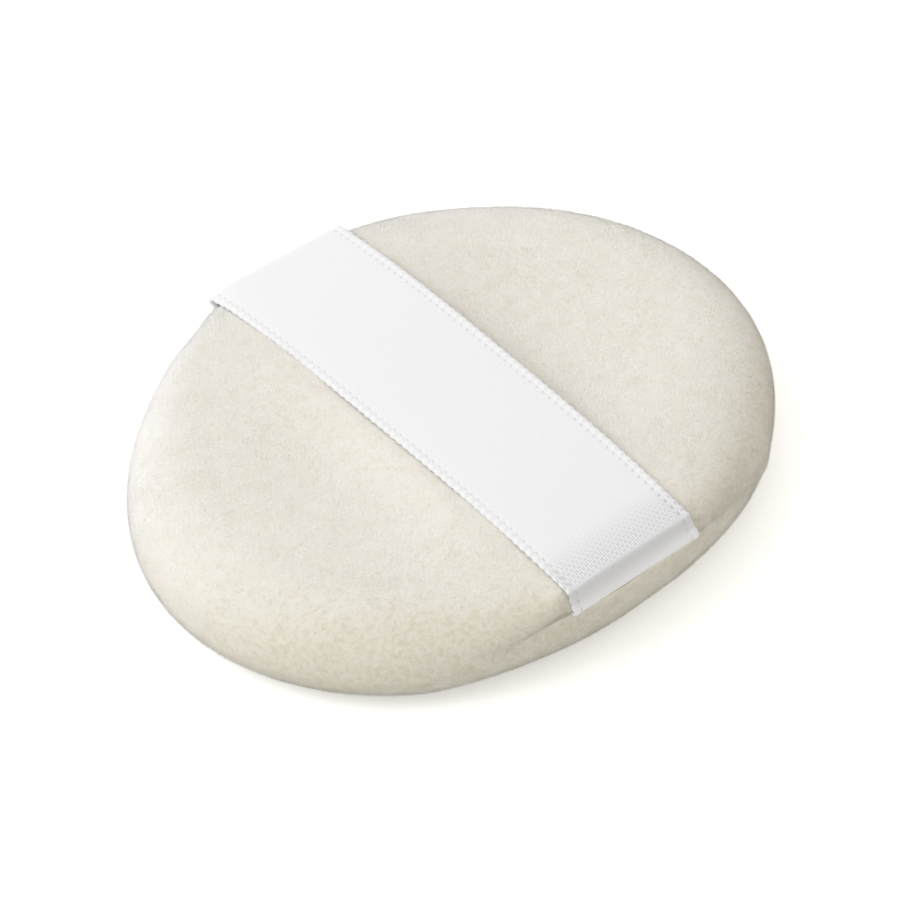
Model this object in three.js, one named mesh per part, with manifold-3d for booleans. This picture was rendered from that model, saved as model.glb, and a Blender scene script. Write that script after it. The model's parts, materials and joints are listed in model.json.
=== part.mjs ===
// A velour powder puff with a satin finger ribbon, lying on its lower face.
// Millimetres, +Z up, +Y along the ribbon, +X across it. The origin is on the resting face, under the middle.

import * as THREE from "three";
import { mergeVertices } from "three/addons/utils/BufferGeometryUtils.js";
import Module from "manifold-3d";

// Pad
const padAcross = 86; // long axis, square to the ribbon
const padAlong = 71.6; // short axis, under the ribbon
const crownHeight = 13.2; // crown above the resting face
const seamHeight = 6.4; // rim seam above the resting face
const rimRound = 9; // how far in from the rim the crown starts to round over
const rimFullness = 2.3; // exponent of the rounding, where 2 is an ellipse
const crownWidth = 6; // level ring between the rounding and the dish
const dishRun = 14; // sloping side of the dish, seen from above
const dishDepth = 2.5; // dish's floor below the crown
const footInset = 9; // how far in from the rim the resting face ends
const endPinch = 0.8; // how far the ribbon draws the rim in
const pinchSpread = 20; // angle over which that fades, in degrees
const endRimHeight = 3.1; // crown above the seam where the ribbon pulls the seam up
const endLean = 1.2; // how far the ribbon leans the upper rim in, at the crown
const endSwell = 0.85; // how much farther out the rounding stands under the ribbon's ends
const liftRun = 10; // how far in from the allowance that pull is felt
const liftFade = 18; // how far beside the ribbon that pull is felt

// Covers and seam
const coverThick = 1.2; // velour with its pile
const seamAllowance = 4.5; // turned-in edge, from the rim
const seamGap = 0.3; // between the two turned-in edges
const grooveDepth = 0.9; // how far the stitches draw the rim in
const grooveWidth = 0.9; // height over which that fades
const stitchInset = 1.2; // stitch line, from the cover's inner face
const threadThick = 0.5;

// Hand-sewn closing of the turning gap
const closingStart = -36; // degrees round the rim, from +X
const closingEnd = -5;
const closingStitch = 3; // length of one stitch
const closingSway = 0.2; // how far the thread crosses the seam to each side

// Ribbon
const ribbonWidth = 20;
const ribbonThick = 0.4;
const ribbonTail = 3.6; // length held in the seam
const foldRun = 2.2; // how far in the ribbon leans from the rim to its fold
const foldRound = 1; // how far each side of the fold is rounded
const archRise = 1.5; // ribbon's middle above its folds
const spanLength = 24; // middle stretch that fingers lift

// Clearance between neighbours
const fitGap = 0.3;

// Mesh fineness
const padSegments = 40;
const roundSteps = 8;
const innerSteps = 6;
const dishSteps = 5;
const threadSides = 6;
const foldSteps = 6;
const endSteps = 10;
const spanSteps = 12;
const closingSides = 6;
const rimSamples = 8;
const stepsPerStitch = 4;
const weldGap = 1e-3; // vertices closer than this are one

const longHalf = padAcross / 2;
const shortHalf = padAlong / 2;
const dishReach = longHalf - rimRound - crownWidth;
const dishFloor = dishReach - dishRun;
const upperSeam = seamHeight + seamGap / 2;
const lowerSeam = seamHeight - seamGap / 2;
const endRise = crownHeight - seamHeight - endRimHeight;

const velour = new THREE.MeshStandardMaterial({ color: 0xe9e4d8, roughness: 0.95, metalness: 0 });
const lowerVelour = velour.clone();
const foam = new THREE.MeshStandardMaterial({ color: 0xf2efe6, roughness: 1, metalness: 0 });
const thread = new THREE.MeshStandardMaterial({ color: 0xf0ede4, roughness: 0.7, metalness: 0 });
const satin = new THREE.MeshStandardMaterial({ color: 0xf4f4f2, roughness: 0.35, metalness: 0 });

const wasm = await Module();
wasm.setup();

// Rises from 0 to 1 between two values, with level ends.
function ease(from, to, value) {
  return THREE.MathUtils.smoothstep(value, from, to);
}

// Plan of the rim: an oval, drawn in at both ends of the ribbon.
function rimRadius(angle) {
  const oval = 1 / Math.hypot(Math.cos(angle) / longHalf, Math.sin(angle) / shortHalf);
  const fromEnd = Math.PI / 2 - Math.asin(Math.abs(Math.sin(angle)));
  const spread = THREE.MathUtils.degToRad(pinchSpread);
  return oval - endPinch * Math.exp(-((fromEnd / spread) ** 2));
}

// Takes a point of the round, level pad to the oval pad, whose seam the ribbon pulls up at both ends
// and whose upper rim is fuller there and leans in.
function pull(point) {
  const reach = Math.hypot(point.x, point.y);
  const scale = rimRadius(Math.atan2(point.y, point.x)) / longHalf;
  const beside = Math.abs(point.x) * scale - ribbonWidth / 2 - fitGap;
  const held = 1 - ease(0, liftFade, beside);
  const fullReach = longHalf - seamAllowance;
  const grip = ease(fullReach - liftRun, fullReach, reach) * held;
  const below = point.z / seamHeight;
  const above = (crownHeight - point.z) / (crownHeight - seamHeight);
  const overSeam = Math.max(0, 1 - above);
  const rounded = THREE.MathUtils.clamp(1 - (longHalf - reach) / rimRound, 0, 1);
  const fuller = endSwell * held * overSeam * 4 * rounded * (1 - rounded);
  const out = scale * (1 + fuller / Math.max(reach, weldGap));
  const lift = endRise * grip * Math.min(below, above);
  const lean = endLean * grip * overSeam;
  const y = point.y * out;
  return point.set(point.x * out, y - lean * Math.sign(y), point.z + lift);
}

// Turns a closed or axis-to-axis profile of (radius, height) into a piece of the pulled pad.
function padPiece(profile) {
  const geometry = new THREE.LatheGeometry(profile.toReversed(), padSegments);
  geometry.rotateX(Math.PI / 2);
  const position = geometry.attributes.position;
  const point = new THREE.Vector3();
  for (let i = 0; i < position.count; i++) {
    pull(point.fromBufferAttribute(position, i));
    position.setXYZ(i, point.x, point.y, point.z);
  }
  return geometry;
}

// Height of the pad's top inside the rounding: a level dish, its sloping side, and the crown.
function topHeight(radius) {
  return crownHeight - dishDepth * (1 - ease(dishFloor, dishReach, radius));
}

// How far the stitches draw the rim in at a height above or below the seam.
function groove(height) {
  return grooveDepth * Math.exp(-height / grooveWidth);
}

// Rounding of a cover from its level face to the seam, at a depth inside the cover's outer face.
function rounding(run, rise, depth, steps, lowest) {
  const points = [];
  const start = Math.asin((lowest / (rise - depth)) ** (rimFullness / 2));
  for (let k = 0; k <= steps; k++) {
    const turn = THREE.MathUtils.lerp(Math.PI / 2, start, k / steps);
    const out = Math.abs(Math.cos(turn)) ** (2 / rimFullness);
    const up = Math.sin(turn) ** (2 / rimFullness);
    const height = (rise - depth) * up;
    points.push(new THREE.Vector2(longHalf - run + (run - depth) * out, height));
  }
  return points;
}

// Draws the outer rounding in at the seam's groove.
function grooved(points) {
  return points.map((p) => new THREE.Vector2(p.x - groove(p.y), p.y));
}

// Top of the pad from the middle to the crown, at a depth inside the cover's outer face.
function topLine(depth) {
  const points = [new THREE.Vector2(0, topHeight(0) - depth)];
  for (let k = 0; k <= dishSteps; k++) {
    const radius = THREE.MathUtils.lerp(dishFloor, dishReach, k / dishSteps);
    points.push(new THREE.Vector2(radius, topHeight(radius) - depth));
  }
  return points;
}

// The upper face from the middle to the seam, and the lower one likewise.
function upperFace(depth, steps, lowest) {
  const round = rounding(rimRound, crownHeight - upperSeam, depth, steps, lowest);
  const shaped = depth > 0 ? round : grooved(round);
  return [...topLine(depth), ...shaped.map((p) => new THREE.Vector2(p.x, upperSeam + p.y))];
}

function lowerFace(depth, steps, lowest) {
  const round = rounding(footInset, lowerSeam, depth, steps, lowest);
  const shaped = depth > 0 ? round : grooved(round);
  return [new THREE.Vector2(0, depth), ...shaped.map((p) => new THREE.Vector2(p.x, lowerSeam - p.y))];
}

// A cover: its outer face, its turned-in edge and its inner face, open in the middle of the seam.
function coverProfile(face, seam, side) {
  const edge = longHalf - seamAllowance;
  return [
    ...face(0, roundSteps, 0),
    new THREE.Vector2(edge, seam),
    new THREE.Vector2(edge, seam + side * coverThick),
    ...face(coverThick, innerSteps, coverThick).reverse(),
  ];
}

// The foam disc: cut straight at its edge, inside the turned-in edges, and shaped by the covers.
function foamProfile() {
  const depth = coverThick + fitGap;
  const edge = longHalf - seamAllowance - fitGap;
  const upTo = (points) => {
    const kept = points.filter((p) => p.x < edge);
    const next = points[kept.length];
    const last = kept[kept.length - 1];
    const share = (edge - last.x) / (next.x - last.x);
    return [...kept, last.clone().lerp(next, share)];
  };
  const upper = upTo(upperFace(depth, roundSteps, 0));
  const lower = upTo(lowerFace(depth, roundSteps, 0));
  return [...upper, ...lower.reverse()];
}

// A ring of thread that lies on a turned-in edge, inside the pad.
function threadProfile(seam, side) {
  const radius = longHalf - coverThick - stitchInset;
  const height = seam + side * (coverThick + fitGap + threadThick / 2);
  const points = [];
  for (let k = 0; k <= threadSides; k++) {
    const turn = (-2 * Math.PI * k) / threadSides;
    const across = (threadThick / 2) * Math.cos(turn);
    const up = (threadThick / 2) * Math.sin(turn);
    points.push(new THREE.Vector2(radius + across, height + up));
  }
  points[threadSides].copy(points[0]);
  return points;
}

// Farthest reach of the rim along the ribbon, within the ribbon's width.
function rimAtRibbon() {
  let reach = 0;
  for (let k = 0; k <= rimSamples; k++) {
    const x = ((ribbonWidth / 2) * k) / rimSamples;
    const angle = Math.acos(x / shortHalf);
    reach = Math.max(reach, rimRadius(angle) * Math.sin(angle));
  }
  return reach;
}

// Heights and reaches of the ribbon's side view, taken at the middle of its thickness.
const ribbonRim = rimAtRibbon();
const tailFace = pull(new THREE.Vector3(0, longHalf, upperSeam)).z;
const tailHeight = tailFace - fitGap - ribbonThick / 2;
const tailBend = fitGap + ribbonThick / 2;
const riserReach = ribbonRim + tailBend;
const foldHeight = crownHeight + fitGap + ribbonThick / 2;
const foldReach = riserReach - foldRun;

// The ribbon's arch between its folds: a parabola over the pad.
function archPoints(from, to, steps) {
  const points = [];
  for (let k = 0; k <= steps; k++) {
    const reach = THREE.MathUtils.lerp(from, to, k / steps);
    const rise = archRise * (1 - (reach / foldReach) ** 2);
    points.push(new THREE.Vector2(reach, foldHeight + rise));
  }
  return points;
}

// One end of the ribbon, from its tail in the seam, up the rim and over the fold, to the span.
function endPoints() {
  const foot = new THREE.Vector2(riserReach, tailHeight + tailBend);
  const crest = new THREE.Vector2(foldReach, foldHeight);
  const before = foot.clone().sub(crest).setLength(foldRound).add(crest);
  const arch = archPoints(foldReach - foldRound, spanLength / 2 + fitGap, endSteps);
  const line = new THREE.Path();
  line.moveTo(ribbonRim - ribbonTail, tailHeight);
  line.lineTo(ribbonRim, tailHeight);
  line.absarc(ribbonRim, tailHeight + tailBend, tailBend, -Math.PI / 2, 0, false);
  line.lineTo(before.x, before.y);
  line.quadraticCurveTo(crest.x, crest.y, arch[0].x, arch[0].y);
  return [...line.getPoints(foldSteps), ...arch.slice(1)];
}

// A strip of ribbon along a line of the side view, as thick and as wide as the ribbon.
function ribbonStrip(points) {
  const offset = (side) =>
    points.map((p, i) => {
      const before = points[Math.max(i - 1, 0)];
      const after = points[Math.min(i + 1, points.length - 1)];
      const along = after.clone().sub(before).normalize();
      const out = new THREE.Vector2(-along.y, along.x);
      return p.clone().addScaledVector(out, (side * ribbonThick) / 2);
    });
  const outline = new THREE.Shape([...offset(1), ...offset(-1).reverse()]);
  const options = { depth: ribbonWidth, bevelEnabled: false, steps: 1 };
  const geometry = new THREE.ExtrudeGeometry(outline, options);
  const alongY = new THREE.Vector3(0, 1, 0);
  const upZ = new THREE.Vector3(0, 0, 1);
  const acrossX = new THREE.Vector3(1, 0, 0);
  geometry.applyMatrix4(new THREE.Matrix4().makeBasis(alongY, upZ, acrossX));
  return geometry.translate(-ribbonWidth / 2, 0, 0);
}

// The room that a ribbon tail takes out of the lower cover's turned-in edge.
function tailPocket() {
  const length = ribbonTail + riserReach - ribbonRim + 2 * fitGap;
  const height = ribbonThick + 2 * fitGap;
  const box = new THREE.BoxGeometry(ribbonWidth + 2 * fitGap, length, height);
  const middle = ribbonRim - ribbonTail - fitGap + length / 2;
  return box.translate(0, middle, tailHeight);
}

// The closing thread: a shallow wave along the seam's groove, one wave to each pair of stitches.
function closingLine() {
  const inset = grooveDepth - fitGap - threadThick / 2;
  const sweep = THREE.MathUtils.degToRad(closingEnd - closingStart);
  const stitches = Math.round((sweep * longHalf) / closingStitch);
  const count = stitches * stepsPerStitch;
  const points = [];
  for (let k = 0; k <= count; k++) {
    const angle = THREE.MathUtils.degToRad(closingStart) + (sweep * k) / count;
    const sway = closingSway * Math.sin((Math.PI * k) / stepsPerStitch);
    const reach = longHalf - inset;
    const point = new THREE.Vector3(reach * Math.cos(angle), reach * Math.sin(angle), seamHeight + sway);
    points.push(pull(point));
  }
  return { curve: new THREE.CatmullRomCurve3(points), count };
}

function closingGeometry() {
  const { curve, count } = closingLine();
  const section = new THREE.Shape();
  section.absarc(0, 0, threadThick / 2, 0, 2 * Math.PI);
  const round = new THREE.Shape(section.getPoints(closingSides / 2).slice(0, -1));
  return new THREE.ExtrudeGeometry(round, { extrudePath: curve, steps: count, bevelEnabled: false });
}

// Joins and cuts work on closed solids.
function solidOf(geometry) {
  const bare = new THREE.BufferGeometry();
  const loose = geometry.index ? geometry.toNonIndexed() : geometry;
  bare.setAttribute("position", loose.getAttribute("position"));
  const merged = mergeVertices(bare, weldGap);
  const vertProperties = merged.attributes.position.array;
  const triVerts = new Uint32Array(merged.index.array);
  return new wasm.Manifold(new wasm.Mesh({ numProp: 3, vertProperties, triVerts }));
}

function geometryOf(solid) {
  const mesh = solid.getMesh();
  const geometry = new THREE.BufferGeometry();
  geometry.setAttribute("position", new THREE.BufferAttribute(mesh.vertProperties, 3));
  geometry.setIndex(new THREE.BufferAttribute(mesh.triVerts, 1));
  return geometry;
}

// Cuts a pocket for each ribbon tail out of a cover.
function pocketed(geometry) {
  const far = solidOf(tailPocket());
  const near = solidOf(tailPocket().rotateZ(Math.PI));
  return geometryOf(solidOf(geometry).subtract(far).subtract(near));
}

const puff = new THREE.Group();
puff.name = "powder_puff";

function addPiece(name, geometry, material) {
  const mesh = new THREE.Mesh(geometry, material);
  mesh.name = name;
  puff.add(mesh);
  return mesh;
}

const upperCover = padPiece(coverProfile(upperFace, upperSeam, 1));
const lowerCover = padPiece(coverProfile(lowerFace, lowerSeam, -1).toReversed());
addPiece("upper_cover", upperCover, velour);
addPiece("lower_cover", pocketed(lowerCover), lowerVelour);
addPiece("foam_core", padPiece(foamProfile()), foam);
addPiece("seam_needle_thread", padPiece(threadProfile(upperSeam, 1)), thread);
addPiece("seam_bobbin_thread", padPiece(threadProfile(lowerSeam, -1)), thread.clone());
addPiece("closing_thread", closingGeometry(), thread.clone());

const endGeometry = ribbonStrip(endPoints());
addPiece("ribbon_span", ribbonStrip(archPoints(spanLength / 2, -spanLength / 2, spanSteps)), satin);
addPiece("ribbon_end_far", endGeometry, satin.clone());
addPiece("ribbon_end_near", endGeometry.clone(), satin.clone()).rotation.z = Math.PI;

export default puff;
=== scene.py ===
"""Looks of a velour powder puff with a satin finger ribbon, dressed on its solid frame.

The pad lies on its lower face at z = 0, +Y runs along the ribbon and +X across it. Sizes are
given in millimetres and meshes are made in metres.
"""

from __future__ import annotations

import json
import logging
import math
from dataclasses import dataclass, field
from enum import Enum

import bpy
import numpy as np
from mathutils import Matrix, Vector

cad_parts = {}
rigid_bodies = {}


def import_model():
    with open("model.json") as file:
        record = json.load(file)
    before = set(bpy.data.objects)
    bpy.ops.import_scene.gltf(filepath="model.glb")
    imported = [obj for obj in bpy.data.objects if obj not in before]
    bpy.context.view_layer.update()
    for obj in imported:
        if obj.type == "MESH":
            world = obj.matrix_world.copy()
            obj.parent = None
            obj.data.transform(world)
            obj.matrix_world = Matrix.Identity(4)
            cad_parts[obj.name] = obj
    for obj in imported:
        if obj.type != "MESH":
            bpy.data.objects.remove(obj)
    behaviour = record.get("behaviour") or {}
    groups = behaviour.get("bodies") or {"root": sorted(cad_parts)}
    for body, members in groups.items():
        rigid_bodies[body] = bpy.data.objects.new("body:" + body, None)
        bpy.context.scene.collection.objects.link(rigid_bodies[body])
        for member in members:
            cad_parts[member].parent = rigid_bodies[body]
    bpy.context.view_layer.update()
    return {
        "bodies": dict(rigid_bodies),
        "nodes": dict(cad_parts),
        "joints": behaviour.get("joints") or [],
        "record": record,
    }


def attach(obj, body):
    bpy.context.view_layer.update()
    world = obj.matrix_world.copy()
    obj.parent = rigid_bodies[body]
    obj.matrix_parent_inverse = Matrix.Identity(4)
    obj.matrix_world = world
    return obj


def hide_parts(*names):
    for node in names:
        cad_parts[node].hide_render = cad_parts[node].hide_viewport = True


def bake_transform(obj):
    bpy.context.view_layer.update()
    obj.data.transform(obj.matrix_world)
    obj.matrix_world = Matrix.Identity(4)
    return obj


MM = 0.001
UV_MAP = "OFBake"
TONE = "tone"
GOLDEN_TURN = math.pi * (3 - math.sqrt(5))
LUMP_SEED, RIPPLE_SEED, MOTTLE_SEED, TUFT_SEED = 3, 9, 45, 100
HASH_FACTORS = np.array([73856093, 19349663, 83492791], dtype=np.uint64)
HASH_SEED = 2654435761
HASH_MIX = np.uint64(0x45D9F3B)
LOW_BITS = np.uint64(0xFFFFFFFF)
FLOOR_CLEAR = 0.02
TONE_LIMITS = 0.03, 0.97
TUFT_FACES = np.array([0, 1, 3, 1, 2, 3, 2, 0, 3])
TUFT_ACROSS = np.tile([-0.01, 0.01, 0.0], 3)
TUFT_UP = np.tile([0.02, 0.02, 0.98], 3)
SEAM_ROWS = np.array([[0.12], [0.04]])
ROUND_STEPS = 120
FACE_STEPS = 160
BEND_STEPS = 13
RISER_STEPS = 12
ARCH_STEPS = 200
RIBBON_COLUMNS = 16, 7, 8
WALL_ON_MAP = 0.0015
OUTER_DISC, OUTER_RADIUS = np.array([0.385, 0.615]), 0.38
INNER_DISC, INNER_RADIUS = np.array([0.88, 0.12]), 0.11
LOG = logging.getLogger("powder_puff")
Span = tuple[float, float]
Colour = tuple[float, float, float, float]
Socket = bpy.types.NodeSocket


class Side(Enum):
    """The two covers of the pad; the value is the sign of the way each one faces."""

    UPPER = 1
    LOWER = -1


class Body(Enum):
    """The moving bodies of the frame."""

    PAD = "pad"
    RIBBON = "ribbon"


class Slot(Enum):
    """The finishes that a piece can take."""

    VELOUR = "velour"
    SATIN = "satin"
    FOAM = "foam"
    THREAD = "thread"


def ease(low: float, high: float, value: np.ndarray) -> np.ndarray:
    """Rise from 0 to 1 between two values, level at both ends.

    Args:
        low: Value at which the rise starts.
        high: Value at which it ends.
        value: Where to take it.

    Returns:
        The smooth step at each value.
    """
    share = np.clip((value - low) / (high - low), 0, 1)
    return share * share * (3 - 2 * share)


def unit(vectors: np.ndarray) -> np.ndarray:
    """Scale vectors along the last axis to length 1."""
    length = np.linalg.norm(vectors, axis=-1, keepdims=True)
    return vectors / np.maximum(length, 1e-12)


def resample(line: np.ndarray, count: int) -> np.ndarray:
    """Space points evenly along a line.

    Args:
        line: Points, one to a row.
        count: How many points to return.

    Returns:
        That many points, the line's ends among them.
    """
    steps = np.linalg.norm(np.diff(line, axis=0), axis=1)
    length = np.concatenate([[0], np.cumsum(steps)])
    wanted = np.linspace(0, length[-1], count)
    return np.stack([np.interp(wanted, length, axis) for axis in line.T], axis=1)


@dataclass(frozen=True)
class Ripple:
    """Smooth seeded unevenness in space: a cubic lattice of random values, blended between.

    Attributes:
        size: Edge of a lattice cell.
        seed: Chooses the values.
    """

    size: float
    seed: int

    def _corner(self, cell: np.ndarray) -> np.ndarray:
        """Draw the values of lattice points by mixing the bits of their whole coordinates.

        Args:
            cell: Whole coordinates along the last axis.

        Returns:
            One value from -1 to 1 for each lattice point.
        """
        keys = (cell.astype(np.int64) & 0xFFFF).astype(np.uint64)
        mixed = np.bitwise_xor.reduce(keys * HASH_FACTORS, axis=-1)
        mixed ^= np.uint64(self.seed * HASH_SEED % 2**32)
        mixed &= LOW_BITS
        for shift in (16, 13, 16):
            mixed ^= mixed >> np.uint64(shift)
            mixed = (mixed * HASH_MIX) & LOW_BITS
        return mixed.astype(float) / 2**31 - 1

    def at(self, points: np.ndarray) -> np.ndarray:
        """Blend the eight lattice values around each point.

        Args:
            points: Places, x, y and z along the last axis.

        Returns:
            One value from -1 to 1 for each point.
        """
        cell = np.floor(points / self.size)
        share = ease(0, 1, points / self.size - cell)
        total = np.zeros(points.shape[:-1])
        for corner in np.ndindex(2, 2, 2):
            weight = np.where(corner, share, 1 - share).prod(axis=-1)
            total += weight * self._corner(cell + np.array(corner))
        return total

    def vector_at(self, points: np.ndarray) -> np.ndarray:
        """Three independent values at each point, as a vector."""
        shifted = [Ripple(self.size, self.seed * 7 + k).at(points) for k in range(3)]
        return np.stack(shifted, axis=-1)


@dataclass
class Surface:
    """A mesh in the making, in millimetres.

    Attributes:
        points: Vertices, one to a row.
        faces: Arrays of vertex numbers, one face to a row; each array has one size of face.
        places: Map coordinates of the corners of all faces in order, or None.
        normals: Shading direction of each vertex, or None to follow the faces.
        tones: Tone of each vertex, from 0 to 1, or None.
    """

    points: np.ndarray
    faces: list[np.ndarray]
    places: np.ndarray | None = None
    normals: np.ndarray | None = None
    tones: np.ndarray | None = None

    def shading(self) -> np.ndarray:
        """Return each vertex's direction: the mean of the directions of its four-sided faces."""
        total = np.zeros_like(self.points)
        for faces in self.faces:
            corner = self.points[faces]
            facing = unit(np.cross(corner[:, 2] - corner[:, 0], corner[:, 3] - corner[:, 1]))
            np.add.at(total, faces, facing[:, None])
        return unit(total)

    def to_object(self, name: str) -> bpy.types.Object:
        """Make a smooth-shaded mesh object of this surface.

        Args:
            name: The object's name.

        Returns:
            The object, at the origin, linked to the scene.
        """
        mesh = bpy.data.meshes.new(name)
        corners = np.concatenate([f.ravel() for f in self.faces]).astype(np.int32)
        sizes = np.concatenate([np.full(len(f), f.shape[1]) for f in self.faces])
        starts = np.concatenate([[0], np.cumsum(sizes)[:-1]]).astype(np.int32)
        mesh.vertices.add(len(self.points))
        mesh.vertices.foreach_set("co", (self.points * MM).astype(np.float32).ravel())
        mesh.loops.add(len(corners))
        mesh.loops.foreach_set("vertex_index", corners)
        mesh.polygons.add(len(sizes))
        mesh.polygons.foreach_set("loop_start", starts)
        mesh.update(calc_edges=True)
        mesh.polygons.foreach_set("use_smooth", np.ones(len(sizes), dtype=bool))
        if self.places is not None:
            layer = mesh.uv_layers.new(name=UV_MAP)
            layer.data.foreach_set("uv", self.places.astype(np.float32).ravel())
        if self.normals is not None:
            mesh.normals_split_custom_set_from_vertices(self.normals.tolist())
        if self.tones is not None:
            kept = mesh.attributes.new(TONE, "FLOAT", "POINT")
            kept.data.foreach_set("value", self.tones.astype(np.float32))
        made = bpy.data.objects.new(name, mesh)
        bpy.context.scene.collection.objects.link(made)
        return made


class Nodes:
    """Builds the nodes of one material or world."""

    def __init__(self, owner: bpy.types.Material | bpy.types.World, output: str) -> None:
        """Clear the nodes and start with only an output.

        Args:
            owner: The material or world.
            output: Type name of the output node.
        """
        owner.use_nodes = True
        self.tree = owner.node_tree
        self.tree.nodes.clear()
        self.output = self.tree.nodes.new(output)

    def show(self, last: bpy.types.Node) -> None:
        """Join the last shader to the output."""
        self.tree.links.new(last.outputs[0], self.output.inputs[0])

    def node(self, kind: str, inputs: dict | None = None, **settings: str) -> bpy.types.Node:
        """Add a node.

        Args:
            kind: The node's type name.
            inputs: Values or output sockets for its inputs, by name or number.
            **settings: Properties to set on the node.

        Returns:
            The node.
        """
        made = self.tree.nodes.new(kind)
        for key, value in settings.items():
            setattr(made, key, value)
        for key, value in (inputs or {}).items():
            if isinstance(value, Socket):
                self.tree.links.new(value, made.inputs[key])
            else:
                made.inputs[key].default_value = value
        return made


class Paint(Nodes):
    """Builds one material, with short calls for the kinds of node used here."""

    def __init__(self, name: str) -> None:
        """Start a material with only an output.

        Args:
            name: The material's name.
        """
        self.material = bpy.data.materials.new(name)
        super().__init__(self.material, "ShaderNodeOutputMaterial")

    def math(self, operation: str, first: Socket | float, second: Socket | float = 0.0) -> Socket:
        """Combine two values by a maths operation and return the result's socket."""
        return self.node("ShaderNodeMath", {0: first, 1: second}, operation=operation).outputs[0]

    def noise(self, place: Socket, scale: float) -> Socket:
        """Return a noise value from 0 to 1; scale is in cells to a metre."""
        inputs = {"Vector": place, "Scale": scale, "Detail": 3.0}
        return self.node("ShaderNodeTexNoise", inputs).outputs["Fac"]

    def ramp(self, value: Socket, low: float, high: float) -> Socket:
        """Stretch the values from low to high smoothly over 0 to 1."""
        inputs = {"Value": value, "From Min": low, "From Max": high}
        made = self.node("ShaderNodeMapRange", inputs, interpolation_type="SMOOTHSTEP")
        return made.outputs["Result"]

    def mix(self, share: Socket, first: Socket | Colour, second: Socket | Colour) -> Socket:
        """Blend two colours by a share and return the colour's socket."""
        inputs = {0: share, 6: first, 7: second}
        return self.node("ShaderNodeMix", inputs, data_type="RGBA").outputs[2]

    def place(self) -> Socket:
        """Return the object's own coordinates, in metres."""
        return self.node("ShaderNodeTexCoord").outputs["Object"]

    def map_place(self) -> tuple[Socket, Socket]:
        """Return the two coordinates of the piece's map."""
        source = self.node("ShaderNodeUVMap", uv_map=UV_MAP)
        parts = self.node("ShaderNodeSeparateXYZ", {0: source.outputs[0]})
        return parts.outputs[0], parts.outputs[1]

    def tone(self) -> Socket:
        """Return the tone that the mesh keeps at its points."""
        return self.node("ShaderNodeAttribute", attribute_name=TONE).outputs["Fac"]

    def bump(self, height: Socket, depth: float, strength: float) -> Socket:
        """Return shading directions tilted by a height; depth is in metres."""
        inputs = {"Height": height, "Distance": depth, "Strength": strength}
        return self.node("ShaderNodeBump", inputs).outputs[0]

    def finish(self, inputs: dict) -> bpy.types.Material:
        """Close the material with one surface shader.

        Args:
            inputs: Values or sockets of the surface, by name.

        Returns:
            The material.
        """
        self.show(self.node("ShaderNodeBsdfPrincipled", inputs))
        return self.material


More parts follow.
